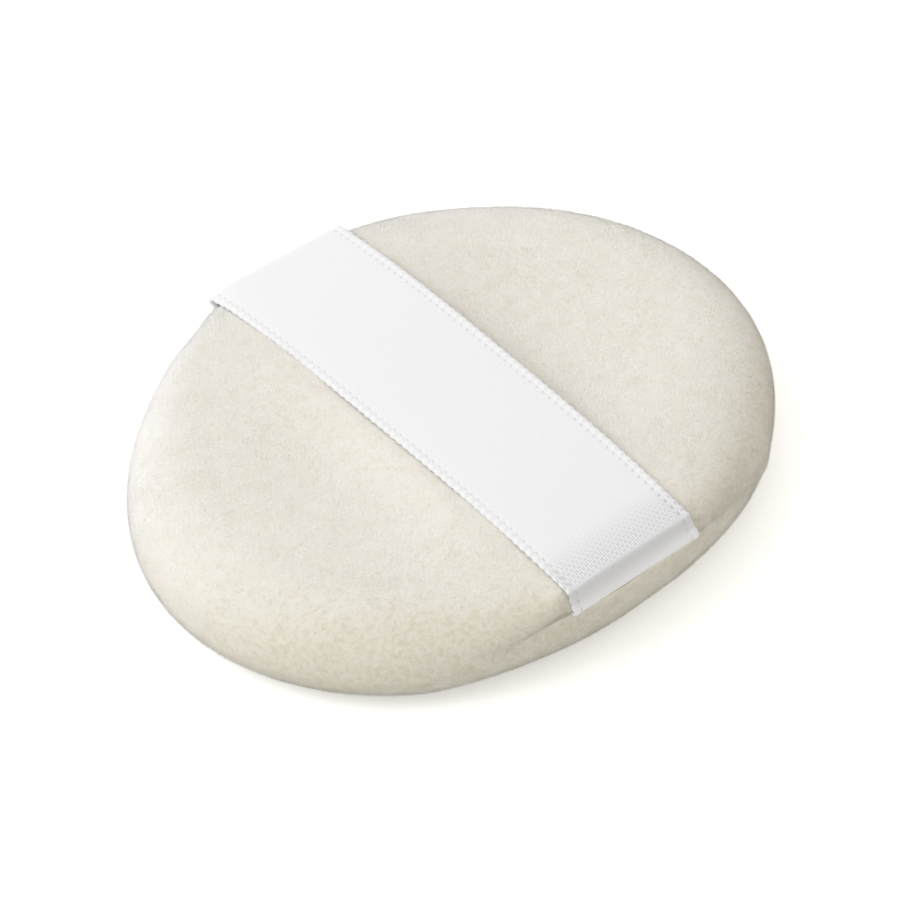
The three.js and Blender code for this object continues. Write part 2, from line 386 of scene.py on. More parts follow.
@dataclass(frozen=True)
class VelourFinish:
    """Ivory cotton velour: the ground between the tufts, and the tufts.

    Attributes:
        tip: Colour of the tufts where the tone takes the full painted light, and the lighter end
            of their mottle.
        dull_shade: Colour of the tufts where the tone takes the full painted shade, and the darker
            end of their mottle.
        root: Colour deep in the pile: painted shade between the fibres.
        shade_way: Way that a face turns to take the full painted shade, standing in for the pile's
            nap; turned the other way it takes painted light.
        level_tone: Tone of the pile where it faces up, from 0, full painted shade, to 1, full painted
            light.
        turned: How far it must face along the shade way, or against it, to take the full painted
            shade, or the full painted light.
        patches: Patches of brushed pile to a metre.
        patch_share: How far the patches change the tone.
        grain: Grains of the ground to a metre.
        grain_span: Noise values at which a grain shows only the root, and only the pile.
        grain_hidden: How strongly the tone's painted light hides the grain's painted shade.
        grain_relief: Height of the grain.
        tuft_span: Places on a tuft at which it would have the root's colour, and has its own.
        roughness: Roughness of the pile.
        gloss: Strength of its reflection.
    """

    tip: Colour = (0.893, 0.88, 0.864, 1)
    dull_shade: Colour = (0.755, 0.73, 0.64, 1)
    root: Colour = (0.68, 0.64, 0.52, 1)
    shade_way: tuple[float, float, float] = (-0.2, -0.98, 0.0)
    level_tone: float = 0.38
    turned: float = 0.6
    patches: float = 600.0
    patch_share: float = 0.6
    grain: float = 1500.0
    grain_span: Span = (0.3, 0.62)
    grain_hidden: float = 1.7
    grain_relief: float = 0.15
    tuft_span: Span = (-1.2, 0.8)
    roughness: float = 0.95
    gloss: float = 0.15

    def opened(self, facing: np.ndarray) -> np.ndarray:
        """Return how far a face turns along the way of the painted shade, from -1 to 1."""
        return facing @ np.array(self.shade_way)

    def tone(self, facing: np.ndarray) -> np.ndarray:
        """Return the pile's tone by the way that it faces: painted shade and light.

        It eases from its level value down to 0, full painted shade, along the shade way, and up
        to 1, full painted light, against it.

        Args:
            facing: Outward directions along the last axis.

        Returns:
            One tone from 0 to 1 for each direction.
        """
        way = self.opened(facing)
        rising = (1 - self.level_tone) * ease(0, self.turned, -way)
        return self.level_tone * (1 - ease(0, self.turned, way)) + rising

    def ground(self) -> bpy.types.Material:
        """Make the ground's material, mottled by patches of brushed pile and fine grain.

        Returns:
            The material: its tone is the mesh's painted shade and light plus the patches, and
            grain shows the root's colour, painted shade deep in the pile, most where the tone
            is low.
        """
        paint = Paint("velour_ground")
        place = paint.place()
        patches = paint.math("MULTIPLY", paint.noise(place, self.patches), self.patch_share)
        grain = paint.noise(place, self.grain)
        tone = paint.tone()
        even = paint.math("SUBTRACT", tone, self.patch_share / 2)
        pile = paint.mix(paint.math("ADD", even, patches), self.dull_shade, self.tip)
        # Painted shade: grains take the root's darker colour, which the tone's painted light hides.
        closed = paint.math("MULTIPLY", tone, self.grain_hidden)
        shown = paint.math("ADD", paint.ramp(grain, *self.grain_span), closed)
        colour = paint.mix(shown, self.root, pile)
        normal = paint.bump(grain, self.grain_relief * MM, 0.5)
        return paint.finish(self._surface(colour) | {"Normal": normal})

    def tufts(self) -> bpy.types.Material:
        """Make the tufts' material: across the map the tone, up the map the height."""
        paint = Paint("velour_tufts")
        tone, height = paint.map_place()
        pile = paint.mix(tone, self.dull_shade, self.tip)
        # Painted shade: low on each tuft the root's darker colour stands for shade deep in the pile.
        colour = paint.mix(paint.ramp(height, *self.tuft_span), self.root, pile)
        return paint.finish(self._surface(colour))

    def _surface(self, colour: Socket) -> dict:
        """Gather the inputs of a velour surface."""
        return {"Base Color": colour, "Roughness": self.roughness, "Specular IOR Level": self.gloss}


@dataclass(frozen=True)
class SatinFinish:
    """White polyester satin, its long floats running along the ribbon.

    Attributes:
        colour: Colour of the floats.
        shade: Colour of the painted shade: between the floats near the fold, on the turned-down
        end and in the eyelets.
        yarn: Width of a warp yarn.
        repeat: Length of the weave's repeat along a yarn.
        relief: Height of the floats.
        offset: Share of a repeat from a yarn's crossing to its neighbour's.
        dip: Share of a repeat over which a yarn dips.
        crown: Share of a yarn's width over which it rounds up.
        weave_shade_span: Lengths from the near tail at which the painted shade between the floats
            is full, and at which it starts.
        crease: Lengths between which that shade ends, over the near fold.
        turned: Lengths between which the turned-down near end takes painted shade, darker up to
            its fold.
        dull_shade: How far that painted shade goes towards the shade colour at its fold.
        hole_across: Shares of an eyelet's width from its middle at which its shade ends and is full.
        hole_along: The same, as shares of the distance between eyelets.
        hole_shade: Painted shade of an eyelet, and what it gains by the near fold.
        roughness: Roughness of the floats.
        gloss: Strength of their reflection.
        sheen: Strength and roughness of the sheen.
    """

    colour: Colour = (0.81, 0.816, 0.832, 1)
    shade: Colour = (0.59, 0.597, 0.615, 1)
    yarn: float = 0.34
    repeat: float = 1.2
    relief: float = 0.05
    offset: float = 0.4
    dip: float = 0.16
    crown: float = 0.45
    weave_shade_span: Span = (7.5, 13.5)
    crease: Span = (6.2, 6.9)
    turned: Span = (3.2, 5.8)
    dull_shade: float = 0.8
    hole_across: Span = (0.65, 0.35)
    hole_along: Span = (0.24, 0.14)
    hole_shade: Span = (0.3, 0.6)
    roughness: float = 0.42
    gloss: float = 0.4
    sheen: Span = (0.1, 0.4)

    def material(self, ribbon: Ribbon, length: float) -> bpy.types.Material:
        """Make the satin's material.

        Args:
            ribbon: The ribbon, whose two faces lie side by side on its map.
            length: Millimetres that it is long.

        Returns:
            The material: every yarn is a rounded ridge, and dips where a weft crosses it. Near
            the front fold the gaps of the weave take painted shade, and the turned-down end below
            it takes painted shade up to the fold. Beside the selvedges the eyelets take painted
            shade, deeper by the near fold.
        """
        paint = Paint("ribbon_satin")
        across, along = paint.map_place()
        height = self._weave(paint, across, along, ribbon.width, length)
        # Painted shade between the floats before the near fold, where light grazes the weave.
        pulled = paint.ramp(along, self.weave_shade_span[1] / length, self.weave_shade_span[0] / length)
        folded = paint.ramp(along, self.crease[0] / length, self.crease[1] / length)
        strained_and_shaded = paint.math("MULTIPLY", pulled, folded)
        weave_shade = paint.math("MULTIPLY", paint.math("SUBTRACT", 1.0, height), strained_and_shaded)
        # Painted shade on the turned-down near end, darkest just under the fold.
        rising = paint.ramp(along, self.turned[0] / length, self.turned[1] / length)
        turned = paint.math("MULTIPLY", rising, paint.math("SUBTRACT", 1.0, folded))
        weave_and_fold_shade = paint.math("MAXIMUM", weave_shade, paint.math("MULTIPLY", turned, self.dull_shade))
        woven = paint.mix(weave_and_fold_shade, self.colour, self.shade)
        # Painted shade in the eyelets, as if the dark below showed through them.
        opening = self._eyelets(paint, across, along, ribbon, length)
        added = paint.math("MULTIPLY", strained_and_shaded, self.hole_shade[1])
        depth = paint.math("ADD", self.hole_shade[0], added)
        colour = paint.mix(paint.math("MULTIPLY", opening, depth), woven, self.shade)
        return paint.finish(
            {
                "Base Color": colour,
                "Roughness": self.roughness,
                "Specular IOR Level": self.gloss,
                "Sheen Weight": self.sheen[0],
                "Sheen Roughness": self.sheen[1],
                "Normal": paint.bump(height, self.relief * MM, 0.5),
            }
        )

    def _weave(
        self, paint: Paint, across: Socket, along: Socket, width: float, length: float
    ) -> Socket:
        """Return the height of the yarns, from 0 where a weft crosses to 1 on a float.

        Args:
            paint: The material in the making.
            across: Map coordinate across both faces.
            along: Map coordinate along them.
            width: Width of the ribbon.
            length: Its length.

        Returns:
            The height's socket.
        """
        yarns = paint.math("MULTIPLY", across, 2 * width / self.yarn)
        shifted = paint.math("MULTIPLY", paint.math("FLOOR", yarns), self.offset)
        repeats = paint.math("MULTIPLY", along, length / self.repeat)
        crossing = paint.math("PINGPONG", paint.math("ADD", repeats, shifted), 0.5)
        risen = paint.ramp(crossing, 0.0, self.dip)
        rounded = paint.ramp(paint.math("PINGPONG", yarns, 0.5), 0.0, self.crown)
        return paint.math("MULTIPLY", risen, rounded)

    def _eyelets(
        self, paint: Paint, across: Socket, along: Socket, ribbon: Ribbon, length: float
    ) -> Socket:
        """Return 1 in the eyelets inside each selvedge and 0 elsewhere.

        Args:
            paint: The material in the making.
            across: Map coordinate across both faces.
            along: Map coordinate along them.
            ribbon: The ribbon.
            length: Its length.

        Returns:
            The share's socket.
        """
        both = paint.math("MULTIPLY", across, 2 * ribbon.width)
        inward = paint.math("PINGPONG", both, ribbon.width / 2)
        from_hole = paint.math("SUBTRACT", inward, ribbon.selvedge + ribbon.eyelet / 2)
        ends = [share * ribbon.eyelet for share in self.hole_across]
        hole = paint.ramp(paint.math("ABSOLUTE", from_hole), *ends)
        beads = paint.math("PINGPONG", paint.math("MULTIPLY", along, length / ribbon.pitch), 0.5)
        return paint.math("MULTIPLY", hole, paint.ramp(beads, *self.hole_along))


@dataclass(frozen=True)
class FoamFinish:
    """Pale open-cell foam.

    Attributes:
        colour: Colour of the cells' walls.
        pit: Colour of their middles: painted shade in the pits.
        cells: Cells to a metre.
        wall: Distances from a cell's middle between which its wall starts.
        relief: Depth of a cell.
    """

    colour: Colour = (0.88, 0.86, 0.78, 1)
    pit: Colour = (0.6, 0.57, 0.48, 1)
    cells: float = 1800.0
    wall: Span = (0.1, 0.6)
    relief: float = 0.2

    def material(self) -> bpy.types.Material:
        """Make the foam's material: round cells, with painted shade in their middles."""
        paint = Paint("foam_cells")
        inputs = {"Vector": paint.place(), "Scale": self.cells}
        cells = paint.node("ShaderNodeTexVoronoi", inputs).outputs["Distance"]
        wall = paint.ramp(cells, *self.wall)
        colour = paint.mix(wall, self.pit, self.colour)
        normal = paint.bump(wall, self.relief * MM, 0.6)
        return paint.finish({"Base Color": colour, "Roughness": 0.95, "Normal": normal})


@dataclass(frozen=True)
class ThreadFinish:
    """Ivory cotton sewing thread.

    Attributes:
        colour: Colour of the fibres.
        gap: Colour between them: painted shade between the fibres.
        fibres: Fibres to a metre.
        fibre: Noise values at which a gap ends and a fibre starts.
        relief: Height of a fibre.
    """

    colour: Colour = (0.76, 0.735, 0.65, 1)
    gap: Colour = (0.58, 0.55, 0.48, 1)
    fibres: float = 5200.0
    fibre: Span = (0.3, 0.6)
    relief: float = 0.08

    def material(self) -> bpy.types.Material:
        """Make the thread's material: fine fibres, with painted shade between them."""
        paint = Paint("cotton_thread")
        fibre = paint.noise(paint.place(), self.fibres)
        colour = paint.mix(paint.ramp(fibre, *self.fibre), self.gap, self.colour)
        normal = paint.bump(fibre, self.relief * MM, 0.7)
        return paint.finish({"Base Color": colour, "Roughness": 0.75, "Normal": normal})


@dataclass(frozen=True)
class PadShape:
    """Form of the pad: an oval, dished cushion whose seam the ribbon pulls up at both ends.

    Attributes:
        long_half: Half of the pad's long axis, across the ribbon.
        short_half: Half of its short axis.
        crown: Height of the crown.
        seam: Height of the rim seam.
        rim_round: How far in from the rim the crown starts to round over.
        fullness: Exponent of the rounding, where 2 is an ellipse.
        dish_floor: Radius of the level floor of the dish.
        dish_reach: Radius at which the dish meets the crown.
        dish_depth: Floor of the dish below the crown.
        ridge_rise: Top of the bulge under the ribbon, over the crown.
        ridge_left: Half width of that bulge, to the left of its middle.
        ridge_right: The same to the right.
        ridge_fullness: Exponent of the bulge across, where 2 is a bell.
        ridge_shift: Place of the bulge's middle across the pad.
        ridge_start: Height over the seam at which the pad bulges in full.
        ridge_reach: Half length of the bulge, along the ribbon.
        foot_inset: How far in from the rim the resting face ends.
        end_pinch: How far the ribbon draws the rim in.
        pinch_spread: Angle over which that fades.
        end_rise: How far the ribbon pulls the seam up.
        near_lean: How far it leans the upper rim in at the near end, at the crown.
        far_lean: The same at the far end.
        pull_from: Radius at which that pull starts.
        pull_full: Radius at which it is full.
        pull_width: Half width of the ribbon with its clearance.
        pull_fade: How far beside the ribbon the pull is felt.
        swell: How much farther out the rounding stands where the pad is fullest.
        swell_way: Angle of the side on which the pad is fullest.
        swell_span: Cosines of the angle from that side at which the swell starts and is full.
        swell_start: Height over the seam at which it is full.
        sag: How far the seam hangs down on the pad's low side.
        sag_way: Angle of that side.
        sag_span: Cosines of the angle from that side at which the sag starts and is full.
        groove_depth: How far the stitches draw the rim in beside the ribbon's ends.
        groove_width: Height over which that fades.
        groove_spread: Angle from the ribbon's ends within which it is felt.
        bumps: Unevenness of the rim in plan: each bump's angle, its spread and its height.
    """

    long_half: float = 43.0
    short_half: float = 35.8
    crown: float = 13.2
    seam: float = 6.4
    rim_round: float = 11.5
    fullness: float = 2.25
    dish_floor: float = 14.0
    dish_reach: float = 31.0
    dish_depth: float = 1.5
    ridge_rise: float = 2.1
    ridge_left: float = 10.5
    ridge_right: float = 18.0
    ridge_fullness: float = 2.6
    ridge_shift: float = -5.0
    ridge_start: float = 2.4
    ridge_reach: float = 33.0
    foot_inset: float = 9.0
    end_pinch: float = 0.8
    pinch_spread: float = math.radians(20)
    end_rise: float = 3.7
    near_lean: float = 1.2
    far_lean: float = 0.3
    pull_from: float = 28.5
    pull_full: float = 38.5
    pull_width: float = 10.3
    pull_fade: float = 18.0
    swell: float = 1.8
    swell_way: float = math.radians(51)
    swell_span: Span = (0.1, 0.9)
    swell_start: float = 1.0
    sag: float = 1.4
    sag_way: float = math.radians(203)
    sag_span: Span = (0.2, 0.95)
    groove_depth: float = 0.38
    groove_width: float = 1.7
    groove_spread: float = math.radians(42)
    bumps: tuple[tuple[float, float, float], ...] = (
        (math.radians(232), math.radians(14), -0.3),
        (math.radians(114), math.radians(7), -0.7),
        (math.radians(10), math.radians(24), -0.35),
        (math.radians(-107), math.radians(10), -0.1),
        (math.radians(-84), math.radians(8), -0.2),
        (math.radians(-44), math.radians(2.0), 0.27),
        (math.radians(-13), math.radians(17), 0.38),
    )

    def rim(self, angle: np.ndarray) -> np.ndarray:
        """Return the plan radius of the rim: an oval less the pinch, with its bumps.

        The pinch and each bump are bells about their own angles.

        Args:
            angle: Directions from the pad's middle.

        Returns:
            The radius in each direction.
        """
        oval = 1 / np.hypot(np.cos(angle) / self.long_half, np.sin(angle) / self.short_half)
        from_end = np.pi / 2 - np.arcsin(np.abs(np.sin(angle)))
        plain = oval - self.end_pinch * np.exp(-((from_end / self.pinch_spread) ** 2))
        for place, spread, height in self.bumps:
            apart = np.angle(np.exp(1j * (angle - place)))
            plain = plain + height * np.exp(-((apart / spread) ** 2))
        return plain

    def pull(self, points: np.ndarray) -> np.ndarray:
        """Take points of the round, level pad to the oval, pulled one.

        Radii are scaled to the rim's and swelled. Heights take the rise of the seam by the ribbon,
        its sag on the low side, in full at the seam and fading to the crown and the foot, and the
        bulge under the ribbon.

        Args:
            points: Places, x, y and z along the last axis.

        Returns:
            The same places on the pad as it is.
        """
        x, y, z = np.moveaxis(points, -1, 0)
        reach, angle = np.hypot(x, y), np.arctan2(y, x)
        scale = self.rim(angle) / self.long_half
        beside = np.abs(x) * scale - self.pull_width
        held = 1 - ease(0, self.pull_fade, beside)
        outer = ease(self.pull_from, self.pull_full, reach)
        low_side = ease(*self.sag_span, np.cos(angle - self.sag_way)) * (1 - held)
        grip = outer * held
        scale = scale * (1 + self._fuller(reach, angle, z, held) / np.maximum(reach, 1e-6))
        x, y = x * scale, y * scale
        above = (self.crown - z) / (self.crown - self.seam)
        rise = self.end_rise * grip - self.sag * outer * low_side
        lift = rise * np.minimum(z / self.seam, above)
        lean = np.where(y > 0, self.far_lean, self.near_lean) * grip * np.maximum(0, 1 - above)
        bulge = self._ridge(x, y) * ease(self.seam, self.seam + self.ridge_start, z)
        return np.stack([x, y - lean * np.sign(y), z + lift + bulge], axis=-1)

    def _fuller(
        self, reach: np.ndarray, angle: np.ndarray, height: np.ndarray, held: np.ndarray
    ) -> np.ndarray:
        """Return how much farther out the upper rounding stands on its full side and by the ribbon.

        The shift is a parabola over the rounding, nothing at its start and at the seam.

        Args:
            reach: Distance from the pad's axis.
            angle: Direction from it.
            height: Height.
            held: 1 in line with the ribbon, 0 far beside it.

        Returns:
            The shift.
        """
        share = np.clip(1 - (self.long_half - reach) / self.rim_round, 0, 1)
        full = ease(*self.swell_span, np.cos(angle - self.swell_way))
        where = 1 - (1 - full) * (1 - held)
        above = ease(self.seam, self.seam + self.swell_start, height)
        return self.swell * where * above * 4 * share * (1 - share)

    def _dish(self, reach: np.ndarray) -> np.ndarray:
        """Return how far the dish lies below the crown: a level floor and a sloping side."""
        return self.dish_depth * (1 - ease(self.dish_floor, self.dish_reach, reach))

    def _ridge(self, x: np.ndarray, y: np.ndarray) -> np.ndarray:
        """Return how far the pad bulges up under the ribbon, whose ends squeeze it.

        Across the ribbon the bulge is a full bell. Along it, its top is the ribbon's arch, which
        falls with the cube of the distance from the middle.

        Args:
            x: Place across the ribbon.
            y: Place along it.

        Returns:
            The bulge's height over the dish.
        """
        half = np.where(x < self.ridge_shift, self.ridge_left, self.ridge_right)
        from_middle = np.abs(x - self.ridge_shift) / half
        arch = self.ridge_rise * np.maximum(0, 1 - np.abs(y / self.ridge_reach) ** 3)
        dish = self._dish(np.abs(y) * self.long_half / self.short_half)
        return np.exp(-(from_middle**self.ridge_fullness)) * (arch + dish)

    def _rounding(self, run: float, rise: float, depth: float) -> np.ndarray:
        """Trace a quarter of a superellipse from the level face to the seam.

        Args:
            run: How far in from the rim it starts.
            rise: Height of the level face over the seam.
            depth: How far inside the outer face.

        Returns:
            Radius and height over the seam, one point to a row.
        """
        turn = np.linspace(np.pi / 2, 0, ROUND_STEPS)
        out = np.abs(np.cos(turn)) ** (2 / self.fullness)
        up = np.abs(np.sin(turn)) ** (2 / self.fullness)
        return np.stack([self.long_half - run + (run - depth) * out, (rise - depth) * up], axis=1)

    def groove(self, angle: np.ndarray, height: np.ndarray) -> np.ndarray:
        """Return how far the stitches draw the rim in, as a bell of the height.

        Args:
            angle: Directions from the pad's middle.
            height: Heights above or below the seam.

        Returns:
            The depth of the groove.
        """
        from_end = np.pi / 2 - np.arcsin(np.abs(np.sin(angle)))
        depth = self.groove_depth * np.exp(-((from_end / self.groove_spread) ** 4))
        return depth * np.exp(-((height / self.groove_width) ** 2))

    def face(self, side: Side, depth: float) -> np.ndarray:
        """Trace a cover's face from the middle to the seam, on the round, level pad.

        Args:
            side: Which cover.
            depth: How far inside the outer face.

        Returns:
            Radius and height, one point to a row.
        """
        upper = side is Side.UPPER
        run = self.rim_round if upper else self.foot_inset
        rise = self.crown - self.seam if upper else self.seam
        turn = self._rounding(run, rise, depth)
        turn[:, 1] = self.seam + side.value * turn[:, 1]
        radius = np.linspace(0, turn[0, 0], FACE_STEPS)[:-1]
        if upper:
            height = self.crown - depth - self._dish(radius)
        else:
            height = np.full_like(radius, depth)
        return np.concatenate([np.stack([radius, height], axis=1), turn])


@dataclass(frozen=True)
class Pile:
    """The pile of one cover: slender tufts that stand on its ground and are brushed over.

    Attributes:
        side: Which cover.
        velour: The finish.
        ground: Places of the cover's outer face, by row and column.
        facing: Their outward directions.
        length: Length of the pile.
        sheets: How many pieces the tufts are kept in.
        tufts: Tufts in each of them.
        tuft_half: Half width of a tuft at its root.
        tuft_spread: How far tufts differ from it, as a share.
        tuft_length: Mean and spread of their length, as shares of the pile.
        tuft_limits: How many spreads from the mean the shortest and the longest are.
        sunk: How far a root lies below the ground.
        lean: How far the pile is brushed over, as a share of its length.
        stray: How far tufts stand from their even places.
        brush: Sizes, seeds and weights of the ripples by which the pile is brushed.
        brush_stray: Weight of each tuft's own way.
        mottle: Sizes of the ripples that mottle the pile.
        mottle_share: Weight of each of them.
        mottle_in_shade: Weight of the mottle on level pile, and what pile that faces the way of
        the painted shade adds.
        tone_stray: How far the tones of single tufts differ.
        root_shade: How far the shading of a root turns to its own side.
        tip_shade: How far that of a tip turns the way it is brushed, and what pile that faces the
        way of the painted shade adds.
        pressed_across: Places across the pad between which the ribbon stops pressing the pile.
        pressed_along: Places along the ribbon between which it starts to.
        pressed_height: Heights between which it starts to.
        pressed_share: How much shorter the pressed pile is.
        foot_tufts: Share of the tufts that stand on the hidden resting face.
        foot_tuft_span: Heights between which the others start.
    """

    side: Side
    velour: VelourFinish
    ground: np.ndarray
    facing: np.ndarray
    length: float
    sheets: int
    tufts: int = 66000
    tuft_half: float = 0.04
    tuft_spread: float = 0.2
    tuft_length: Span = (1.1, 0.25)
    tuft_limits: Span = (-1.5, 2.5)
    sunk: float = 0.05
    lean: float = 0.5
    stray: float = 0.07
    brush: tuple[tuple[float, int, float], ...] = ((8.0, 21, 1.0), (1.8, 33, 0.5), (0.9, 39, 0.4))
    brush_stray: float = 0.25
    mottle: tuple[float, ...] = (0.9, 1.6, 2.8)
    mottle_share: float = 0.3
    mottle_in_shade: Span = (0.7, 2.0)
    tone_stray: float = 0.04
    root_shade: float = 0.7
    tip_shade: Span = (0.1, 0.3)
    pressed_across: Span = (10.0, 10.6)
    pressed_along: Span = (27.0, 29.0)
    pressed_height: Span = (9.0, 10.0)
    pressed_share: float = 0.7
    foot_tufts: float = 0.12
    foot_tuft_span: Span = (0.6, 1.6)

    def layer(self, sheet: int) -> Surface:
        """Make one piece of the pile: three-sided spikes, brushed over.

        Roots are spread evenly by area. The way a tuft leans is a sum of ripples plus a scatter of
        its own. Its tone, across the map, is that of the ground, mottled, and its height runs up
        the map.

        Args:
            sheet: Number of this piece, which chooses its tufts.

        Returns:
            The tufts, shaded mostly as the ground that they stand on.
        """
        chance = np.random.default_rng(TUFT_SEED + 10 * sheet + self.side.value)
        root, facing = self._roots(sheet)
        count = len(root)
        stray = chance.normal(size=(count, 3)) * self.stray
        root = root + stray - facing * (stray * facing).sum(axis=1, keepdims=True)
        brush = sum(w * Ripple(size, seed).vector_at(root) for size, seed, w in self.brush)
        brush += self.brush_stray * chance.normal(size=(count, 3))
        brush -= facing * (brush * facing).sum(axis=1, keepdims=True)
        mean, spread = self.tuft_length
        odd = chance.normal(size=(count, 1)).clip(*self.tuft_limits)
        length = self.length * (mean + spread * odd)
        length *= 1 - self.pressed_share * self._under_ribbon(root)[:, None]
        tip = root + unit(facing + self.lean * brush) * length
        tip[:, 2] = np.maximum(tip[:, 2], FLOOR_CLEAR)
        side = unit(np.cross(facing, chance.normal(size=(count, 3))))
        odd = chance.random((count, 1))
        half = self.tuft_half * (1 - self.tuft_spread + 2 * self.tuft_spread * odd)
        feet, at_feet = self._feet(root, facing, side, half)
        # How far each tuft faces the way of the painted shade, which deepens its mottle.
        opened = np.maximum(0, self.velour.opened(facing))[:, None]
        at_tip = unit(facing + (self.tip_shade[0] + self.tip_shade[1] * opened) * brush)
        points = np.concatenate([feet, tip[:, None]], axis=1)
        normals = np.concatenate([at_feet, at_tip[:, None]], axis=1)
        faces = (4 * np.arange(count)[:, None] + TUFT_FACES).reshape(-1, 3)
        tone = self._tone(root, facing, opened[:, 0])
        tone = np.clip(tone + self.tone_stray * chance.normal(size=count), *TONE_LIMITS)
        places = np.stack([tone[:, None] + TUFT_ACROSS, np.tile(TUFT_UP, (count, 1))], axis=-1)
        return Surface(points.reshape(-1, 3), [faces], places.reshape(-1, 2), normals.reshape(-1, 3))

    def _feet(
        self, root: np.ndarray, facing: np.ndarray, side: np.ndarray, half: np.ndarray
    ) -> tuple[np.ndarray, np.ndarray]:
        """Set three corners round the root of each tuft, a third of a turn apart.

        Args:
            root: Places of the tufts.
            facing: Their outward directions.
            side: A direction square to each of those.
            half: Half widths of the tufts.

        Returns:
            Places and shading directions, by tuft and corner.
        """
        turn = 2 * np.pi * np.arange(3)[:, None] / 3
        other = np.cross(facing, side)
        out = np.cos(turn) * side[:, None] + np.sin(turn) * other[:, None]
        feet = root[:, None] + out * half[:, None] - (facing * self.sunk)[:, None]
        return feet, unit(facing[:, None] + self.root_shade * out)

    def _tone(self, root: np.ndarray, facing: np.ndarray, opened: np.ndarray) -> np.ndarray:
        """Return the tone of tufts: the ground's painted shade and light plus a mottle of ripples,
        strongest where the painted shade lies.

        Args:
            root: Places of the tufts.
            facing: Their outward directions.
            opened: How far the pile faces the way of the painted shade there.

        Returns:
            One tone for each tuft.
        """
        spots = (Ripple(size, MOTTLE_SEED + k).at(root) for k, size in enumerate(self.mottle))
        mottle = sum(self.mottle_share * spot for spot in spots)
        return self.velour.tone(facing) + mottle * (self.mottle_in_shade[0] + self.mottle_in_shade[1] * opened)

    def _under_ribbon(self, root: np.ndarray) -> np.ndarray:
        """Return 1 where the ribbon's ends press the pile down, 0 elsewhere."""
        beside = 1 - ease(*self.pressed_across, np.abs(root[:, 0]))
        outward = ease(*self.pressed_along, np.abs(root[:, 1]))
        return beside * outward * ease(*self.pressed_height, root[:, 2])

    def _roots(self, sheet: int) -> tuple[np.ndarray, np.ndarray]:
        """Spread places over the ground, as many to each area, and give their outward directions.

        They lie on a spiral from the middle to the seam, a golden turn apart, and each sheet takes
        every so many of them.

        Args:
            sheet: Number of the piece of the pile.

        Returns:
            Places and directions, one to a row.
        """
        a, b = self.ground[:-1], self.ground[1:]
        columns = a.shape[1]
        down = b - a
        around = np.roll(a, -1, axis=1) - a
        far = np.roll(b, -1, axis=1) - b
        area = np.linalg.norm(np.cross(down, 0.5 * (around + far)), axis=-1)
        if self.side is Side.LOWER:
            shown = ease(*self.foot_tuft_span, a[..., 2])
            area = area * (self.foot_tufts + (1 - self.foot_tufts) * shown)
        odds = np.concatenate([[0], np.cumsum(area.sum(axis=1))])
        total = self.tufts * self.sheets
        order = np.arange(sheet, total, self.sheets)
        rung = np.interp((order + 0.5) / total * odds[-1], odds, np.arange(len(odds)))
        spoke = order * GOLDEN_TURN / (2 * np.pi) * columns
        row, column = np.floor(rung).astype(int), np.floor(spoke).astype(int) % columns
        after = (column + 1) % columns
        u, v = (rung % 1)[:, None], (spoke % 1)[:, None]

        def within(grid: np.ndarray) -> np.ndarray:
            """Blend a cell's four corners."""
            top = grid[row, column] * (1 - v) + grid[row, after] * v
            low = grid[row + 1, column] * (1 - v) + grid[row + 1, after] * v
            return top * (1 - u) + low * u

        return within(self.ground), unit(within(self.facing))


